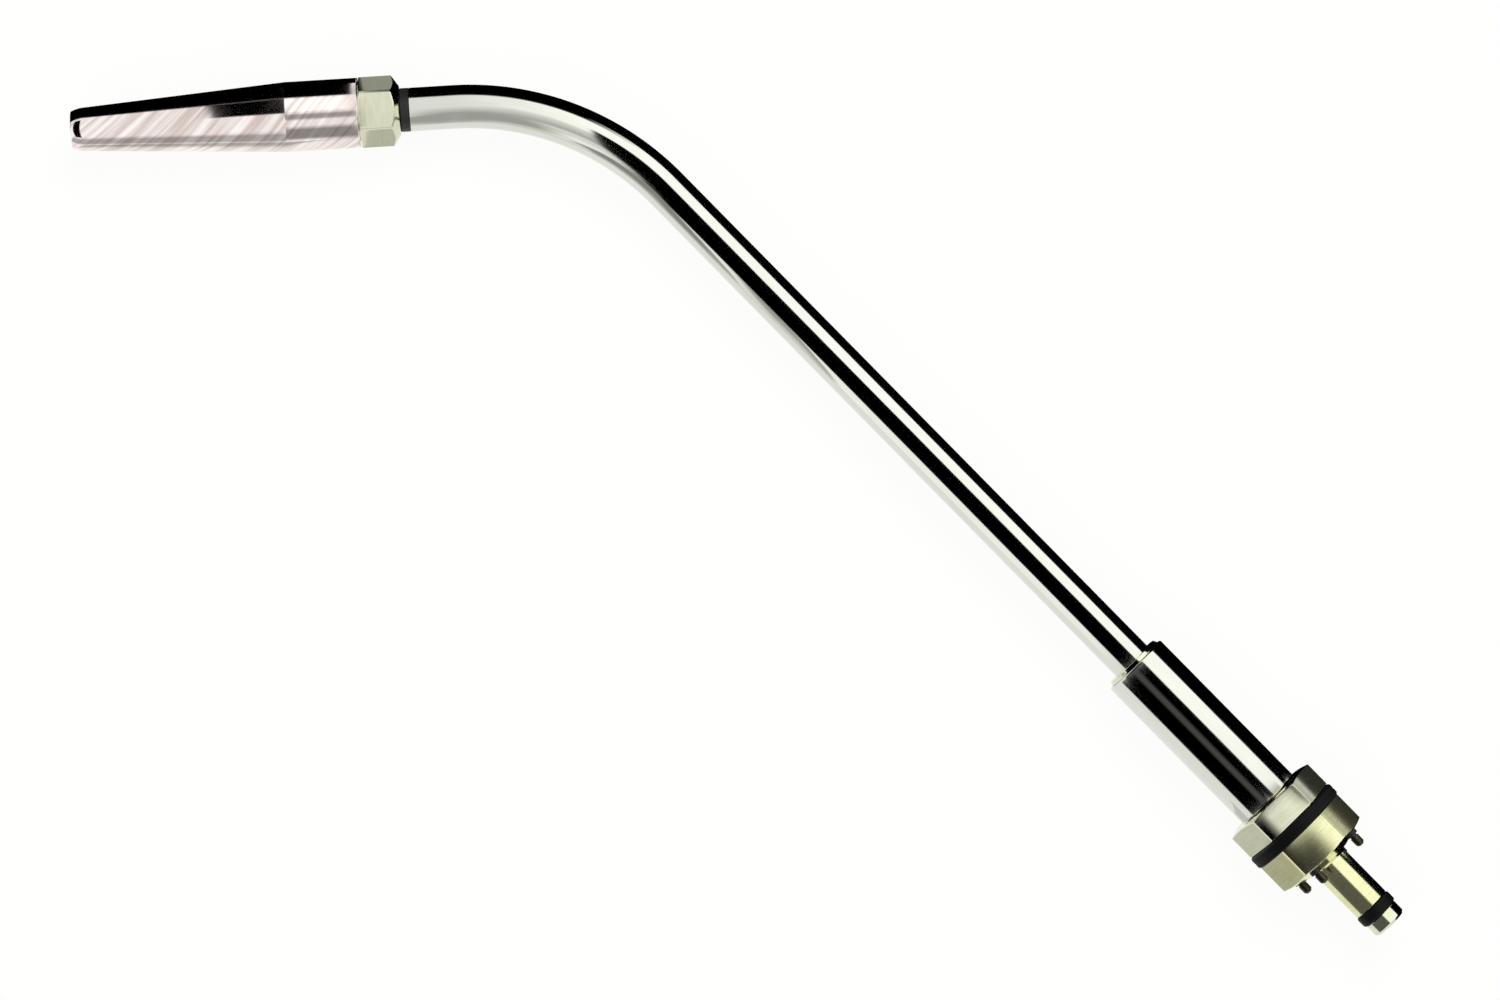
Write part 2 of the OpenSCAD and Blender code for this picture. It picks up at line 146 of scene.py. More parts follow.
def addRings(bm, rows, turns, place=Matrix.Identity(4)):
    # Rows of (place or x, radius or radius at an angle) close into one solid, given in millimetres. A row
    # of a bent piece has its length along the neck as well, which the finish's marks follow.
    layer = bm.verts.layers.float_vector.get("along") or bm.verts.layers.float_vector.new("along")
    rings = []
    for position, radius, *length in rows:
        bent = isinstance(position, Matrix)
        ringPlace = position if bent else Matrix.Translation((position * mm, 0, 0))
        ring = []
        for turn in turns:
            size = (radius(turn) if callable(radius) else radius) * mm
            spoke = Vector((0, -size * math.sin(turn), size * math.cos(turn)))
            vertex = bm.verts.new(place @ ringPlace @ spoke)
            along = length[0] * mm if length else ringPlace.translation.x
            vertex[layer] = spoke + Vector((along, 0, 0))
            ring.append(vertex)
        rings.append(ring)
    for ring, following in zip(rings, rings[1:] + rings[:1]):
        for j in range(len(turns)):
            k = (j + 1) % len(turns)
            bm.faces.new((ring[j], ring[k], following[k], following[j]))


def meshFrom(name, bm):
    mesh = bpy.data.meshes.new(name)
    bm.to_mesh(mesh)
    bm.free()
    return mesh


def addObject(name, data):
    added = bpy.data.objects.new(name, data)
    bpy.context.scene.collection.objects.link(added)
    return added


def dressMesh(mesh, look, crisp):
    mesh.materials.clear()
    mesh.materials.append(look)
    mesh.shade_smooth()
    mesh.set_sharp_from_angle(angle=math.radians(crisp))


def makePiece(name, bm, look, body, replaced, place=Matrix.Identity(4)):
    bmesh.ops.remove_doubles(bm, verts=bm.verts, dist=mergeGap * mm)
    bmesh.ops.dissolve_degenerate(bm, edges=bm.edges, dist=sliver * mm)
    bmesh.ops.recalc_face_normals(bm, faces=bm.faces)
    bm.transform(place)  # the place is kept in the mesh, so that the piece's box is its true one
    mesh = meshFrom(name, bm)
    dressMesh(mesh, look, crispAngle)
    piece = addObject(name, mesh)
    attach(piece, body)
    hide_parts(replaced)


def turnedPiece(name, points, look, body, replaced, place, around=128):
    bm = bmesh.new()
    addRings(bm, filleted(points), evenTurns(around))
    makePiece(name, bm, look, body, replaced, place)


def colour(code):
    # sRGB hex to linear
    channels = [int(code[i:i + 2], 16) / 255 for i in (1, 3, 5)]
    return (*[c / 12.92 if c <= 0.04045 else ((c + 0.055) / 1.055) ** 2.4 for c in channels], 1)


def addNode(tree, kind, settings=None, links=None):
    node = tree.nodes.new(kind)
    for key, value in (settings or {}).items():
        if isinstance(key, int) or key in node.inputs:
            node.inputs[key].default_value = value
        else:
            setattr(node, key, value)
    for key, source in (links or {}).items():
        tree.links.new(source, node.inputs[key])
    return node


def perMetre(widthX, widthY, widthZ):
    # texture scale for marks of that many millimetres each way
    return (1 / (widthX * mm), 1 / (widthY * mm), 1 / (widthZ * mm))


def emptyLook(name):
    look = bpy.data.materials.new(name)
    look.use_nodes = True
    look.node_tree.nodes.clear()
    return look, look.node_tree


def finishShader(tree, settings, details, shade, wear, wearRange, grain):
    # shade moves the tint between the two colours, wear sets the roughness and grain the fine bump
    shader = addNode(tree, "ShaderNodeBsdfPrincipled", settings)
    addNode(tree, "ShaderNodeOutputMaterial", links={"Surface": shader.outputs["BSDF"]})
    tint = addNode(tree, "ShaderNodeMix", {
        "data_type": "RGBA", 6: colour(details["light"]), 7: colour(details["deep"])}, {0: shade})
    rough = addNode(tree, "ShaderNodeMapRange", {
        "From Min": wearRange[0], "From Max": wearRange[1],
        "To Min": details["roughness"][0], "To Max": details["roughness"][1]}, {"Value": wear})
    bump = addNode(tree, "ShaderNodeBump", {
        "Strength": details["bump"], "Distance": details["depth"] * mm}, {"Height": grain})
    tree.links.new(tint.outputs[2], shader.inputs["Base Color"])
    tree.links.new(rough.outputs[0], shader.inputs["Roughness"])
    tree.links.new(bump.outputs[0], shader.inputs["Normal"])


def metalLook(name, details, source="along"):
    # One metal finish: a tint that wanders, polish or turning marks in the roughness and a fine bump.
    # They follow the neck where addRings has written "along", and the object's axes on the nodes kept.
    look, tree = emptyLook(name)
    if source == "along":
        place = addNode(tree, "ShaderNodeAttribute", {"attribute_name": "along"}).outputs["Vector"]
    else:
        place = addNode(tree, "ShaderNodeTexCoord").outputs["Object"]
    if "twist" in details:
        # the marks wind round the piece, one turn in that many millimetres
        parts = addNode(tree, "ShaderNodeSeparateXYZ", links={0: place})
        turn = addNode(tree, "ShaderNodeMath", {
            "operation": "MULTIPLY", 1: 2 * math.pi / (details["twist"] * mm)}, {0: parts.outputs["X"]})
        place = addNode(tree, "ShaderNodeVectorRotate", {"rotation_type": "X_AXIS"},
                        {"Vector": place, "Angle": turn.outputs[0]}).outputs[0]
    marks = addNode(tree, "ShaderNodeMapping", {
        "Scale": perMetre(*details["markSize"])}, {"Vector": place})
    fine = addNode(tree, "ShaderNodeTexNoise", {
        "Scale": 1.0, "Detail": 3.0}, {"Vector": marks.outputs[0]}).outputs["Fac"]
    clouds = addNode(tree, "ShaderNodeTexNoise", {
        "Scale": 1 / (details["cloudSize"] * mm), "Detail": 4.0}, {"Vector": place}).outputs["Fac"]
    streaks = addNode(tree, "ShaderNodeMapRange", {  # most of a noise lies between these two values
        "From Min": 0.35, "From Max": 0.65,
        "To Min": -details["streaks"], "To Max": details["streaks"]}, {"Value": fine})
    shade = addNode(tree, "ShaderNodeMath", {"operation": "ADD"}, {0: clouds, 1: streaks.outputs[0]})
    both = addNode(tree, "ShaderNodeMath", {
        "operation": "MULTIPLY_ADD", 1: details["cloudShare"]}, {0: clouds, 2: fine})
    bothRange = (0.3, 0.8 + details["cloudShare"])  # the values that the two noises reach together
    finishShader(tree, {"Metallic": 1.0}, details, shade.outputs[0], both.outputs[0], bothRange, fine)
    return look


def softLook(name, details):
    # rubber, plastic and ceramic: a matte or satin body with moulded or fired grain
    look, tree = emptyLook(name)
    place = addNode(tree, "ShaderNodeTexCoord").outputs["Object"]
    grain, clouds = [addNode(tree, "ShaderNodeTexNoise", {
        "Scale": 1 / (details[size] * mm), "Detail": 3.0}, {"Vector": place}).outputs["Fac"]
        for size in ("grain", "cloudSize")]
    body = {"Metallic": 0.0, "IOR": details["ior"], "Specular IOR Level": details["specular"]}
    finishShader(tree, body, details, clouds, grain, (0.3, 0.7), grain)
    return look


# markSize is the size of the belt's or the lathe's marks along the piece and across it. The real ones are
# finer than the eye makes out from here, so they are drawn as coarse as they need to show.

# Bright chrome plate on a belt-polished tube: hard clear reflections with faint lengthwise polish lines
chrome = metalLook("polishedChromePlate", {
    "light": "#DEDFD9", "deep": "#D4D5CC", "cloudSize": 30, "cloudShare": 0.35,
    "markSize": (14, 0.35, 0.35), "streaks": 0.3, "roughness": (0.05, 0.13), "bump": 0.04, "depth": 0.02})
# Electroless nickel over turned brass: a warm greenish white that is a little milky
nickel = metalLook("nickelPlatedBrass", {
    "light": "#DEE0CA", "deep": "#D0D3B6", "cloudSize": 9, "cloudShare": 0.5,
    "markSize": (0.4, 6, 6), "streaks": 0.3, "roughness": (0.07, 0.13), "bump": 0.06, "depth": 0.02})
# Turned free-cutting brass: yellow with an olive cast and fine rings from the tool
brass = metalLook("turnedBrass", {
    "light": "#E8E8C2", "deep": "#D2D29C", "cloudSize": 8, "cloudShare": 0.5,
    "markSize": (0.4, 6, 6), "streaks": 0.3, "roughness": (0.10, 0.2), "bump": 0.12, "depth": 0.03})
# Drawn and lightly plated copper: pale pink metal with a soft sheen, and marks of the belt that wind round
copper = metalLook("platedCopper", {
    "light": "#FDF6F5", "deep": "#D4C4BF", "cloudSize": 18, "cloudShare": 0.5, "twist": 60,
    "markSize": (60, 1.9, 1.9), "streaks": 0.5, "roughness": (0.05, 0.12), "bump": 0.05, "depth": 0.03})
# Hard-drawn copper alloy of the wearing parts: a deeper orange red
tipCopper = metalLook("drawnCopper", {
    "light": "#DC9070", "deep": "#C4714F", "cloudSize": 7, "cloudShare": 0.6,
    "markSize": (0.35, 5, 5), "streaks": 0.3, "roughness": (0.2, 0.36),
    "bump": 0.12, "depth": 0.03}, source="object")
# Machined brass of the pieces inside: a fuller yellow, duller, with a fine even grain
innerBrass = metalLook("machinedBrass", {
    "light": "#DCC478", "deep": "#C2A557", "cloudSize": 6, "cloudShare": 0.6,
    "markSize": (0.5, 0.5, 0.5), "streaks": 0.3, "roughness": (0.22, 0.38),
    "bump": 0.1, "depth": 0.02}, source="object")
# Cold-drawn spring steel: grey, smooth and slightly blue
springSteel = metalLook("drawnSpringSteel", {
    "light": "#B4B7BA", "deep": "#9C9FA3", "cloudSize": 5, "cloudShare": 0.6,
    "markSize": (0.5, 0.5, 0.5), "streaks": 0.3, "roughness": (0.22, 0.36),
    "bump": 0.08, "depth": 0.02}, source="object")
# Oxidised contact brass of the pins: brown black with a dull shine
pinMetal = metalLook("oxidisedPinBrass", {
    "light": "#57513F", "deep": "#3B382E", "cloudSize": 2, "cloudShare": 0.8,
    "markSize": (0.3, 2, 2), "streaks": 0.3, "roughness": (0.3, 0.45), "bump": 0.1, "depth": 0.02})
# Moulded nitrile rubber: deep black, satin, with the bloom of handling
rubber = softLook("mouldedNitrileRubber", {
    "light": "#0C0C0C", "deep": "#060606", "ior": 1.5, "specular": 0.15, "grain": 0.25, "cloudSize": 6,
    "roughness": (0.5, 0.68), "bump": 0.15, "depth": 0.02})
# Glass-filled nylon: hard black plastic with a fine speckle
nylon = softLook("glassFilledNylon", {
    "light": "#1A1A1B", "deep": "#101011", "ior": 1.53, "specular": 0.4, "grain": 0.3, "cloudSize": 4,
    "roughness": (0.42, 0.58), "bump": 0.2, "depth": 0.03})
# Fired alumina of the gas distributor: off-white, dry and slightly speckled
alumina = softLook("firedAlumina", {
    "light": "#EFE9DC", "deep": "#DED5C3", "ior": 1.76, "specular": 0.5, "grain": 0.2, "cloudSize": 3,
    "roughness": (0.55, 0.72), "bump": 0.25, "depth": 0.03})
print("materials made:", len(bpy.data.materials))


# The bend lies between the plug's axis and the nozzle's; both give its radius and where it starts
bendEnd = joints["nozzle_twist"]["pos_m"]
bendAngle = math.atan2(joints["nozzle_twist"]["axis"][1], joints["nozzle_twist"]["axis"][0])
bendRadius = bendEnd[1] / mm / (1 - math.cos(bendAngle))
bendStart = bendEnd[0] / mm - bendRadius * math.sin(bendAngle)
bendTo = bendStart + bendRadius * bendAngle  # as a length along the neck


def alongNeck(length):
    # the place that many millimetres along the neck's middle line
    turn = min(max((length - bendStart) / bendRadius, 0), bendAngle)
    beyond = length - bendStart - bendRadius * turn
    return (Matrix.Translation((bendStart * mm, bendRadius * mm, 0)) @ Matrix.Rotation(turn, 4, "Z")
            @ Matrix.Translation((beyond * mm, -bendRadius * mm, 0)))


neckTube = {"wall": 0.8, "ringsInBend": 96, "around": 128, "radius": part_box("neck_tube")[1].z / mm,
            "from": reach("neck_tube", rearPlace)[0], "to": bendTo + reach("front_ring", frontPlace)[0]}
stations = [neckTube["from"], *stepsBetween(bendStart, bendTo, neckTube["ringsInBend"]), neckTube["to"]]
bore = neckTube["radius"] - neckTube["wall"]
rows = [(alongNeck(length), neckTube["radius"], length) for length in stations]
rows += [(alongNeck(length), bore, length) for length in reversed(stations)]
bm = bmesh.new()
addRings(bm, rows, evenTurns(neckTube["around"]))
makePiece("neckTube", bm, chrome, "neck", "neck_tube")
print("neck tube made")


shankFrom, shankTo, shankRadius = reach("shank", rearPlace)
shank = {"wall": 2, "edge": 0.5, "boreEdge": 0.2, "around": 160}
bore = shankRadius - shank["wall"]
turnedPiece("shank", [
    (shankFrom, bore, shank["boreEdge"]), (shankTo, bore, shank["boreEdge"]),
    (shankTo, shankRadius, shank["edge"]), (shankFrom, shankRadius, shank["edge"])],
    chrome, "neck", "shank", rearPlace, shank["around"])

bushFrom, bushTo, bushRadius = reach("shank_bush", rearPlace)
bush = {"lipFall": 0.75, "lipEdge": 0.3, "rearEdge": 0.15,
        "bore": neckTube["radius"] + seam, "spigot": bore - seam}
turnedPiece("shankBush", [
    (bushFrom, bush["bore"], 0), (bushTo, bush["bore"], bush["lipEdge"]),
    (bushTo, bushRadius - bush["lipFall"], bush["lipEdge"]),
    (shankTo + seam, bushRadius, bush["rearEdge"]), (shankTo + seam, bush["spigot"], 0),
    (bushFrom, bush["spigot"], 0)],
    nickel, "neck", "shank_bush", rearPlace)
print("shank made")


flatRows = 6  # rows along a hexagon's flats
cornerBlend, coneBlend = 0.5, 0.3  # millimetres over which a flat runs into a worn corner or a cone


def cornerOf(flats):
    return flats / 2 / math.cos(math.pi / 6)


def hexRadius(flats, crown, cornerCut):
    # distance from the axis to a slightly crowned hexagon with worn corners
    def at(turn):
        away = (turn + math.pi / 6) % (math.pi / 3) - math.pi / 6
        side = math.tan(away) / math.tan(math.pi / 6)
        flat = (flats / 2 - crown * side * side) / math.cos(away)
        return smoothMin(flat, cornerOf(flats) - cornerCut, cornerBlend)
    return at


def hexRows(flats, details, start, end, cone):
    # Rows of a hexagon that is turned off to a cone of (x, radius) points. A cone wider than the corners
    # leaves the flats whole. The rows of both ends are given as (length, rows, gap to the next rows).
    (rear, rearRows, rearGap), (front, frontRows, frontGap) = details["rearRows"], details["frontRows"]
    steps = (stepsBetween(start, start + rear, rearRows)
             + stepsBetween(start + rear + rearGap, end - front - frontGap, flatRows)
             + stepsBetween(end - front, end, frontRows))
    hexagon = hexRadius(flats, details["crown"], details["cornerCut"])

    def radiusAt(x):
        for (x0, r0), (x1, r1) in zip(cone, cone[1:]):
            if x <= x1:
                return r0 + (r1 - r0) * (x - x0) / (x1 - x0)
        return cone[-1][1]

    rows = []
    for x in steps:
        limit = radiusAt(x)
        rows.append((x, lambda turn, limit=limit: smoothMin(hexagon(turn), limit, coneBlend)))
    return rows


def hexPiece(name, rows, perFlat, look, body, replaced, place):
    bm = bmesh.new()
    addRings(bm, rows, hexTurns(perFlat))
    makePiece(name, bm, look, body, replaced, place)


sealFrom, sealTo, sealRadius = reach("coupling_seal", rearPlace)
stubTo = reach("coupling_body", rearPlace)[1]
acrossFlats = 2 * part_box("lock_nut")[1].z / mm
corner = cornerOf(acrossFlats)
brassBody = {"rearFlat": 8.4, "coneLength": 2.9, "crown": 0.22, "cornerCut": 0.25, "frontEdge": 0.35,
             "stub": 12, "plugHole": 5, "tailBore": 8.05, "tailFrom": 7, "mouth": 9.05, "mouthDepth": 4,
             "rearRows": (3.4, 22, 0.5), "frontRows": (0.45, 5, 0.15), "perFlat": 24}
rows = hexRows(acrossFlats, brassBody, 0, sealFrom, [
    (0, brassBody["rearFlat"]), (brassBody["coneLength"], corner + 0.05),
    (sealFrom - brassBody["frontEdge"], corner + 0.6), (sealFrom, corner - 0.1)])
rows += [(sealFrom, brassBody["stub"]), (stubTo, brassBody["stub"]), (stubTo, brassBody["mouth"]),
         (stubTo - brassBody["mouthDepth"], brassBody["tailBore"]),
         (brassBody["tailFrom"], brassBody["tailBore"]),
         (brassBody["tailFrom"], brassBody["plugHole"]), (0, brassBody["plugHole"])]
hexPiece("couplingBody", rows, brassBody["perFlat"], brass, "coupling", "coupling_body", rearPlace)

blackRing = {"round": 0.86, "lip": 0.12, "lipHalf": 0.3, "lipEdge": 0.1, "bore": 12, "boreEdge": 0.1,
             "around": 160}
sealMiddle = (sealFrom + sealTo) / 2
turnedPiece("couplingSeal", [
    (sealFrom + seam, blackRing["bore"], 0), (sealTo, blackRing["bore"], blackRing["boreEdge"]),
    (sealTo, sealRadius, blackRing["round"]), (sealMiddle + blackRing["lipHalf"], sealRadius, 0),
    (sealMiddle, sealRadius - blackRing["lip"], blackRing["lipEdge"]),
    (sealMiddle - blackRing["lipHalf"], sealRadius, 0),
    (sealFrom + seam, sealRadius, blackRing["round"])],
    rubber, "coupling", "coupling_seal", rearPlace, blackRing["around"])

nutFrom, nutTo, _ = reach("lock_nut", rearPlace)
lockNut = {"crown": 0.2, "cornerCut": 0.2, "rearChamfer": 0.35, "rearCut": 0.5, "frontChamfer": 0.8,
           "frontFace": 14.6, "flange": 2.6, "thread": 12.05, "threadLead": 0.4, "hole": 8.3,
           "holeChamfer": 0.5, "rearRows": (0.5, 5, 0.5), "frontRows": (1.2, 14, 0.2), "perFlat": 24}
rows = hexRows(acrossFlats, lockNut, nutFrom, nutTo, [
    (nutFrom, corner - lockNut["rearCut"]), (nutFrom + lockNut["rearChamfer"], corner + 0.1),
    (nutTo - lockNut["frontChamfer"], corner + 0.05), (nutTo, lockNut["frontFace"])])
flangeAt = nutTo - lockNut["flange"]
rows += [(nutTo, lockNut["hole"] + lockNut["holeChamfer"]),
         (nutTo - lockNut["holeChamfer"], lockNut["hole"]),
         (flangeAt, lockNut["hole"]), (flangeAt, lockNut["thread"]),
         (nutFrom + lockNut["threadLead"], lockNut["thread"]),
         (nutFrom, lockNut["thread"] + lockNut["threadLead"])]
hexPiece("lockNut", rows, lockNut["perFlat"], nickel, "lock_nut", "lock_nut", rearPlace)
print("coupling made")


capFrom, capTo, capRadius = reach("plug_end_cap", rearPlace)
ringFrom, ringTo, ringRadius = reach("plug_seal", rearPlace)
spigotFrom, spigotTo, spigotRadius = reach("plug_spigot", rearPlace)
spigot = {"foot": 0.9, "footHollow": (0.22, 0.4), "hollowEdge": 0.2, "footEdge": 0.3, "journal": 4.5,
          "hole": 3, "thread": 4.98, "threadEdge": 0.4, "edge": 0.35}
hollowBack, hollowRise = spigot["footHollow"]  # the foot spreads out in a hollow curve
turnedPiece("plugSpigot", [
    (spigotFrom, spigot["hole"], 0), (spigotTo, spigot["hole"], 0),
    (spigotTo, spigot["thread"], spigot["threadEdge"]), (0, spigot["thread"], 0),
    (-seam, spigotRadius + spigot["foot"], 0),
    (-hollowBack, spigotRadius + hollowRise, spigot["hollowEdge"]),
    (-spigot["foot"], spigotRadius, spigot["footEdge"]),
    (ringTo, spigotRadius, spigot["edge"]), (ringTo, spigot["journal"], 0),
    (spigotFrom, spigot["journal"], 0)],
    brass, "coupling", "plug_spigot", rearPlace)

plugRing = {"round": 1.1}
turnedPiece("plugSeal", [
    (ringFrom + seam, spigot["journal"], 0), (ringTo - seam, spigot["journal"], 0),
    (ringTo - seam, ringRadius, plugRing["round"]), ((ringFrom + ringTo) / 2, ringRadius, 0),
    (ringFrom + seam, ringRadius, plugRing["round"])],
    rubber, "coupling", "plug_seal", rearPlace)

endCap = {"floor": 1.5, "lead": 0.8, "leadEdge": 0.1, "hole": 3, "round": 0.3, "endEdge": 0.2,
          "bore": spigot["journal"] + seam}
leadTo, floorTo = capFrom + endCap["lead"], capFrom + endCap["floor"]
turnedPiece("plugEndCap", [
    (capFrom, endCap["hole"] + endCap["lead"], endCap["leadEdge"]),
    (leadTo, endCap["hole"], endCap["leadEdge"]), (floorTo, endCap["hole"], 0),
    (floorTo, endCap["bore"], 0), (capTo, endCap["bore"], 0), (capTo, capRadius, endCap["round"]),
    (leadTo, capRadius, endCap["round"]), (capFrom, capRadius - endCap["lead"], endCap["endEdge"])],
    nickel, "coupling", "plug_end_cap", rearPlace)

# turn is where the first pin stands, inset how far in from the flats, middle the radius that closes an end
pins = {"count": 4, "turn": 64, "inset": 2.6, "radius": 1.5, "root": 1.2, "tip": 0.75, "middle": 0.01,
        "tipEdge": 0.2, "shoulderEdge": 0.3, "bush": 2, "bushFrom": 0.6, "bushRound": 0.25, "around": 48}
pinsFrom, pinsTo, _ = reach("contact_pins", rearPlace)
pinOutline = filleted([
    (pinsFrom, pins["middle"], 0), (pinsFrom, pins["tip"], pins["tipEdge"]),
    (pinsFrom + pins["tip"], pins["radius"], pins["shoulderEdge"]), (0, pins["radius"], pins["tipEdge"]),
    (0, pins["root"], 0), (pinsTo, pins["root"], 0), (pinsTo, pins["middle"], 0)])
bushOutline = filleted([
    (pins["bushFrom"], pins["root"], 0), (pins["bushFrom"], pins["bush"], pins["bushRound"]),
    (pinsTo, pins["bush"], 0), (pinsTo, pins["root"], 0)])
pinBody, bushBody = bmesh.new(), bmesh.new()
for i in range(pins["count"]):
    spin = Matrix.Rotation(math.radians(pins["turn"] + 360 * i / pins["count"]), 4, "X")
    pinPlace = spin @ Matrix.Translation((0, (acrossFlats / 2 - pins["inset"]) * mm, 0))
    addRings(pinBody, pinOutline, evenTurns(pins["around"]), pinPlace)
    addRings(bushBody, bushOutline, evenTurns(pins["around"]), pinPlace)
makePiece("contactPins", pinBody, pinMetal, "coupling", "contact_pins", rearPlace)
makePiece("pinBushes", bushBody, nylon, "coupling", "pin_bushes", rearPlace)
print("plug made")


ringFrom, ringTo, ringRadius = reach("front_ring", frontPlace)
insulatingRing = {"bore": 5.05, "round": 0.5}
turnedPiece("frontRing", [
    (ringFrom, insulatingRing["bore"], 0), (ringTo - seam, insulatingRing["bore"], 0),
    (ringTo - seam, ringRadius, insulatingRing["round"]),
    (ringFrom, ringRadius, insulatingRing["round"])],
    nylon, "neck", "front_ring", frontPlace)

seatFrom, seatTo, _ = reach("nozzle_seat", frontPlace)
nozzleFrom, nozzleTo, nozzleRadius = reach("gas_nozzle", frontPlace)
collar = {"flats": 20.1, "backRadius": 7.85, "coneLength": 2.6, "nozzleGap": 0.3, "crown": 0.12,
          "cornerCut": 0.15, "frontChamfer": 0.4, "frontCut": 0.35, "seat": 9.1, "bore": 7.02,
          "groove": 7.65, "springAt": 9, "grooveHalf": 1.05, "grooveEdge": 0.1, "noseEdge": 0.6,
          "rearRows": (3, 20, 0.5), "frontRows": (0.5, 5, 0.2), "perFlat": 16}
hexTo = nozzleFrom - collar["nozzleGap"]
corner = cornerOf(collar["flats"])
rows = hexRows(collar["flats"], collar, seatFrom, hexTo, [
    (seatFrom, collar["backRadius"]), (seatFrom + collar["coneLength"], corner + 0.05),
    (hexTo - collar["frontChamfer"], corner + 0.1), (hexTo, corner - collar["frontCut"])])
grooveFrom = hexTo + collar["springAt"] - collar["grooveHalf"]
grooveTo = hexTo + collar["springAt"] + collar["grooveHalf"]
rows += filleted([
    (hexTo, collar["seat"], 0), (grooveFrom, collar["seat"], collar["grooveEdge"]),
    (grooveFrom, collar["groove"], 0), (grooveTo, collar["groove"], 0),
    (grooveTo, collar["seat"], collar["grooveEdge"]), (seatTo, collar["seat"], collar["noseEdge"]),
    (seatTo, collar["bore"], 0), (seatFrom, collar["bore"], 0)])
hexPiece("nozzleCollar", rows, collar["perFlat"], nickel, "neck", "nozzle_seat", frontPlace)

nozzle = {"cylinder": 23.2, "wall": 2.05, "boreReach": 10.5, "boreEdge": 0.25, "tip": 6.7, "mouth": 5.2,
          "mouthLength": 10.5, "mouthEdge": 1, "breakEdge": 0.2, "rearEdge": 0.35, "innerLip": 0.15,
          "lipFall": 0.8, "lipFlat": 0.7, "lipLength": 4, "lipEnd": 4.4, "lipRows": 10, "lipRound": 0.4,
          "around": 192}
coneFrom = nozzleFrom + nozzle["cylinder"]
bore = nozzleRadius - nozzle["wall"]
taper = (nozzleRadius - nozzle["tip"]) / (nozzleTo - coneFrom)
lip = [(nozzleTo, nozzle["tip"] - nozzle["lipFall"], nozzle["lipRound"])]
for back in stepsBetween(nozzle["lipFlat"], nozzle["lipLength"], nozzle["lipRows"]):
    fall = nozzle["lipFall"] * (1 - back / nozzle["lipLength"]) ** 2  # it falls away in a shallow curve
    lip.append((nozzleTo - back, nozzle["tip"] + taper * back - fall, 0))
lip.append((nozzleTo - nozzle["lipEnd"], nozzle["tip"] + taper * nozzle["lipEnd"], 0))
turnedPiece("gasNozzle", [
    (nozzleFrom, bore, nozzle["boreEdge"]), (coneFrom + nozzle["boreReach"], bore, 0),
    (nozzleTo - nozzle["mouthLength"], nozzle["mouth"], nozzle["mouthEdge"]),
    (nozzleTo, nozzle["mouth"], nozzle["innerLip"]), *lip,
    (coneFrom, nozzleRadius, nozzle["breakEdge"]), (nozzleFrom, nozzleRadius, nozzle["rearEdge"])],
    copper, "nozzle", "gas_nozzle", frontPlace, nozzle["around"])
print("front end made")


innerLooks = {
    "neck_tail": innerBrass, "clamp_collet": innerBrass, "liner_nipple": innerBrass,
    "tip_holder": innerBrass, "tail_seals": rubber, "shank_insulator": nylon,
    "neck_insulation": nylon, "nozzle_insulator": nylon, "conductor_tube": tipCopper,
    "contact_tip": tipCopper, "wire_liner": springSteel, "nozzle_spring": springSteel,
    "gas_distributor": alumina}
for nodeName, look in innerLooks.items():
    dressMesh(frame["nodes"][nodeName].data, look, innerCrisp)
print("inner pieces finished:", len(innerLooks))


# Cards light the metal: only reflections see them, and their meshes need just enough points to bend
cardMesh = {"row": 8, "fewestRows": 4, "degrees": 1.5, "fewestColumns": 12, "flatColumns": 40}
cardWarmth = 0.97  # the blue of a card's light against its red and green


def addCard(name, span, section, light, feather):
    # a card that follows the neck and fades out over its edges
    bm = bmesh.new()
    layer = bm.verts.layers.float.new("fade")
    fadeAcross, fadeLength = feather
    first, last = span[0] + fadeLength, span[1] - fadeLength
    rows = max(cardMesh["fewestRows"], round((last - first) / cardMesh["row"]))
    columns = len(section) - 1
    grid = []
    for length in [span[0], *stepsBetween(first, last, rows), span[1]]:
        line = []
        for j, (across, up) in enumerate(section):
            vertex = bm.verts.new(alongNeck(length) @ Vector((0, across * mm, up * mm)))
            sideFade = min(j, columns - j) / columns / fadeAcross
            endFade = min(length - span[0], span[1] - length) / fadeLength
            vertex[layer] = max(0.0, min(1.0, sideFade, endFade))
            line.append(vertex)
        grid.append(line)
    for before, after in zip(grid, grid[1:]):
        for j in range(columns):
            bm.faces.new((before[j], before[j + 1], after[j + 1], after[j]))
    look, tree = emptyLook(name + "Light")
    look.cycles.emission_sampling = "NONE"
    glow = addNode(tree, "ShaderNodeEmission", {
        "Color": (light, light, light * cardWarmth, 1), "Strength": 1.0})
    clear = addNode(tree, "ShaderNodeBsdfTransparent")
    fade = addNode(tree, "ShaderNodeAttribute", {"attribute_name": "fade"})
    mix = addNode(tree, "ShaderNodeMixShader", links={
        0: fade.outputs["Fac"], 1: clear.outputs[0], 2: glow.outputs[0]})
    addNode(tree, "ShaderNodeOutputMaterial", links={"Surface": mix.outputs[0]})
    mesh = meshFrom(name, bm)
    mesh.materials.append(look)
    card = addObject(name, mesh)
    card.visible_camera = card.visible_diffuse = card.visible_shadow = False


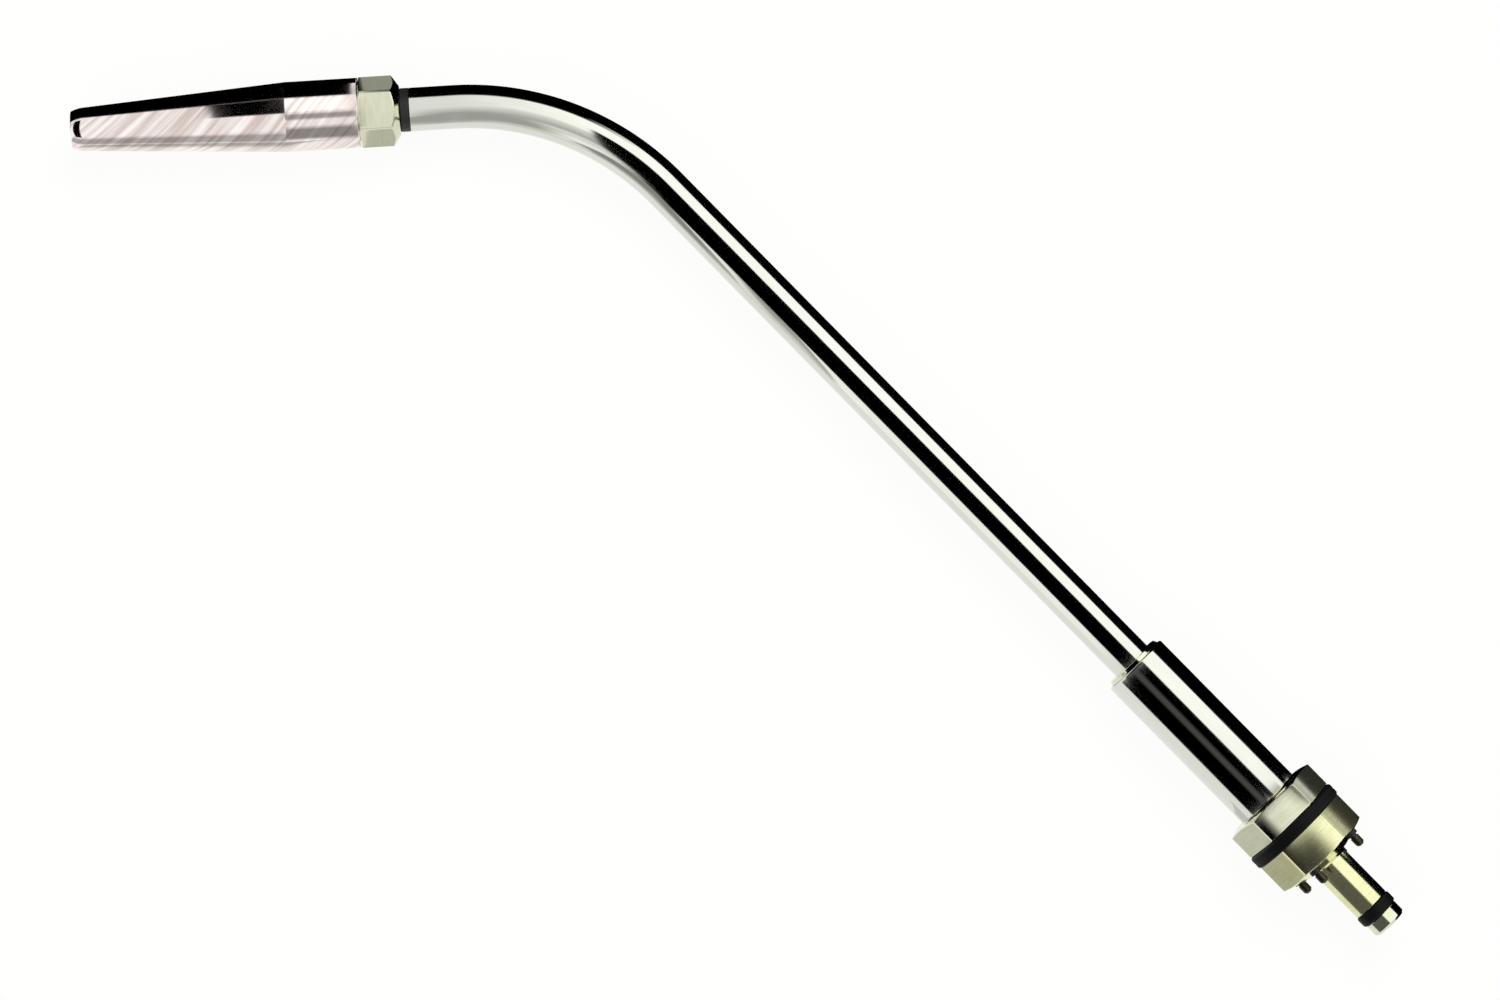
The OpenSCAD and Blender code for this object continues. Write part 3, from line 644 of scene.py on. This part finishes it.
# Cards bent round the neck's middle line: span in millimetres along it, angles from the vertical (minus
# on the outer side of the bend), radius, light (1 for white), and how far the edges fade each way
bentCards = {
    "plugFlag": ((-160, -8.5), (-4, 94), 100, 0.12, (5, 1)),
    "bodyFlag": ((-9, 7), (-6.5, 80), 100.2, 0.03, (4, 1)),
    "nutFlag": ((6, 21), (3.5, 74), 100.5, 0.0, (2, 1)),
    "nutTop": ((12, 21), (-60, -5), 120, 0.28, (6.5, 1)),
    "nutShade": ((4.5, 21), (-66, -2), 150, 0.69, (14, 1)),
    "sleeveFlag": ((20.5, 84), (-24, 76), 101, 0.0, (3, 1)),
    "tubeFlag": ((83, 335), (-23, 54), 102, 0.0, (2, 2)),
    "sleeveGlow": ((18, 86), (3, 28), 95, 0.08, (8, 4)),
    "sideSoftbox": ((-400, 385), (-86, -1), 320, 1.36, (4, 40)),
    "farSoftbox": ((80, 350), (54, 96), 320, 1.18, (4, 10)),
    "plugLow": ((-120, -6), (-113, -69), 60, 0.0, (2, 1)),
    "couplingLow": ((-24, 11), (-100, -69), 250, 0.0, (2, 1)),
    "tubeLow": ((24, 337), (-113, -69), 60, 0.0, (2, 1)),
    "neckLow": ((316, 414), (-113, -54), 61, 0.0, (6, 20)),
    "neckShade": ((330, 402), (0, 104), 200, 0.46, (35, 12)),
    "cylinderLow": ((411, 438), (-113, -55), 62, 0.0, (3, 1)),
    "cylinderSoftbox": ((418, 450), (-57, -12), 210, 1.3, (3, 3)),
    "cylinderTop": ((412, 449), (-9, 17), 150, 0.38, (8, 2)),
    "cylinderSide": ((412, 449), (32, 90), 150, 0.3, (14, 2)),
    "coneLow": ((436.5, 640), (-113, -54), 63, 0.0, (5, 1)),
    "conePatch": ((443, 474), (-62, -7), 120, 0.0, (4, 2)),
    "coneShade": ((451, 700), (46, 100), 200, 0.45, (16, 3))}
for name, (span, (low, high), radius, light, (fadeAngle, fadeLength)) in bentCards.items():
    columns = max(cardMesh["fewestColumns"], round((high - low) / cardMesh["degrees"]))
    turns = [math.radians(angle) for angle in stepsBetween(low, high, columns)]
    section = [(radius * math.sin(turn), radius * math.cos(turn)) for turn in turns]
    addCard(name, span, section, light, (fadeAngle / (high - low), fadeLength))

# Cards that lie level beside the neck: span, across in millimetres from its middle line, height above
# the floor, light, and how far the edges fade, as a share across and in millimetres along
flatCards = {
    "floorFlag": ((-120, 640), (-62, 0), 0.3, 0.0, (0.02, 1)),
    "couplingDark": ((-6, 27), (-62, -14), 0.6, 0.035, (0.05, 1)),
    "couplingEdge": ((-6, 27), (-110, -58), 0.9, 0.6, (0.17, 1)),
    "collarShade": ((394, 408), (-100, -18), 0.6, 0.38, (0.05, 1)),
    "collarFloor": ((394, 408), (15, 100), 0.6, 0.62, (0.1, 1)),
    "coneFloor": ((431, 520), (30, 500), 0.6, 0.5, (0.1, 4)),
    "couplingFloor": ((-6, 14), (20, 110), 0.6, 0.5, (0.1, 1)),
    "nutFloor": ((13, 31), (20, 110), 0.9, 0.7, (0.1, 1)),
    "lipFlag": ((642, 900), (-450, 450), 400, 0.0, (0.05, 16))}
floorZ = cadBox[0].z
for name, (span, (near, far), above, light, feather) in flatCards.items():
    section = [(across, floorZ / mm + above) for across in stepsBetween(near, far, cardMesh["flatColumns"])]
    addCard(name, span, section, light, feather)


def seenRays(tree):
    # 1 for what the camera, metal or glass sees, 0 for what lights the part
    rays = addNode(tree, "ShaderNodeLightPath")
    direct = addNode(tree, "ShaderNodeMath", {"operation": "MAXIMUM"}, {
        0: rays.outputs["Is Camera Ray"], 1: rays.outputs["Is Glossy Ray"]})
    return addNode(tree, "ShaderNodeMath", {"operation": "MAXIMUM"}, {
        0: direct.outputs[0], 1: rays.outputs["Is Transmission Ray"]}).outputs[0]


# The floor is seen nearly white; what is left of its paper colour holds the shadow. The sky is white to
# the eye and dimmer as a light.
studio = {"white": (1, 1, 0.985, 1), "paper": (0.86, 0.86, 0.85, 1), "floorWhite": 0.93, "floorSize": 25,
          "floorCells": 8, "skyLight": 0.55}
bm = bmesh.new()
cells = studio["floorCells"]
bmesh.ops.create_grid(bm, x_segments=cells, y_segments=cells, size=studio["floorSize"])
floor = addObject("floor", meshFrom("floor", bm))
floor.location.z = floorZ
look, tree = emptyLook("paperFloor")
look.cycles.emission_sampling = "NONE"
paper = addNode(tree, "ShaderNodeBsdfDiffuse", {"Color": studio["paper"]})
white = addNode(tree, "ShaderNodeEmission", {"Color": studio["white"], "Strength": 1.0})
share = addNode(tree, "ShaderNodeMath", {"operation": "MULTIPLY", 1: studio["floorWhite"]}, {
    0: seenRays(tree)})
mix = addNode(tree, "ShaderNodeMixShader", links={
    0: share.outputs[0], 1: paper.outputs[0], 2: white.outputs[0]})
addNode(tree, "ShaderNodeOutputMaterial", links={"Surface": mix.outputs[0]})
floor.data.materials.append(look)

world = bpy.data.worlds.new("studio")
bpy.context.scene.world = world
world.use_nodes = True
world.cycles.sampling_method = "NONE"
tree = world.node_tree
tree.nodes.clear()
strength = addNode(tree, "ShaderNodeMapRange", {"To Min": studio["skyLight"], "To Max": 1.0}, {
    "Value": seenRays(tree)})
sky = addNode(tree, "ShaderNodeBackground", {"Color": studio["white"]}, {"Strength": strength.outputs[0]})
addNode(tree, "ShaderNodeOutputWorld", links={"Surface": sky.outputs[0]})

# place, from the middle of the part, and size are in metres
lamps = {"keySoftbox": {"place": (0.5, -0.9, 1.6), "size": 1.2, "watts": 24},
         "fillSoftbox": {"place": (-0.3, 1.0, 1.5), "size": 1.4, "watts": 10}}
middle = (cadBox[0] + cadBox[1]) / 2
for name, lamp in lamps.items():
    data = bpy.data.lights.new(name, "AREA")
    data.shape = "SQUARE"
    data.size = lamp["size"]
    data.energy = lamp["watts"]
    softbox = addObject(name, data)
    softbox.location = middle + Vector(lamp["place"])
    softbox.rotation_euler = (-Vector(lamp["place"])).to_track_quat("-Z", "Y").to_euler()
    softbox.visible_camera = softbox.visible_glossy = False
print("studio made")


# The camera looks straight down: the middle of its view, its turn, and the width that it sees there
view = {"middleX": 211.99, "middleY": 50.86, "turn": 225.44, "width": 480, "lens": 200, "sensor": 36,
        "near": 0.1, "far": 100}
cameraData = bpy.data.cameras.new("camera")
cameraData.lens = view["lens"]
cameraData.sensor_width = view["sensor"]
cameraData.clip_start, cameraData.clip_end = view["near"], view["far"]  # metres
camera = addObject("camera", cameraData)
height = view["width"] * mm * view["lens"] / view["sensor"]
camera.location = (view["middleX"] * mm, view["middleY"] * mm, height)
camera.rotation_euler = (0, 0, math.radians(view["turn"]))
bpy.context.scene.camera = camera
bpy.context.scene.view_settings.view_transform = "Standard"

print("scene ready")
